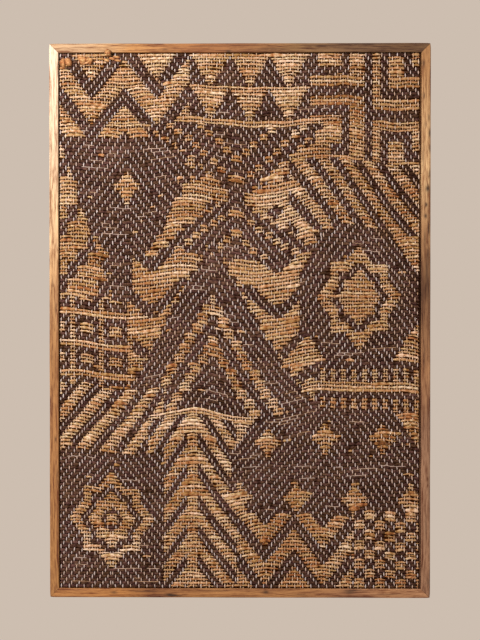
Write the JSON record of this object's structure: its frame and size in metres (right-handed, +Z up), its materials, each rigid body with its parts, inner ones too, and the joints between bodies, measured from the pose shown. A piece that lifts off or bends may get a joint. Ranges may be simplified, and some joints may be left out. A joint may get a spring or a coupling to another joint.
{
  "type": "jute weaving in a wooden frame",
  "caption": "Stiff double-faced jute weaving with a geometric pattern, lying in the rebate of a thin mitred wooden frame that hangs flat on a wall.",
  "frame": {"origin": "middle of the top rail's back, where the frame meets the wall", "axes": "+Y out of the frame's back, into the wall; -Y the woven face; +Z up; +X to the right seen from the front"},
  "size_m": [0.61, 0.032, 0.888],
  "materials": {
    "rail_wood": "thin clear satin over knotty wood",
    "jute": "natural golden jute weft, uneven, with slubs",
    "dark_weft": "dark brown matte weft",
    "tie_warp": "fine cream warp"
  },
  "bodies": {
    "root": {"cloth": "jute", "rail_top": "rail_wood", "rail_right": "rail_wood", "rail_bottom": "rail_wood", "rail_left": "rail_wood"}
  },
  "joints": []
}
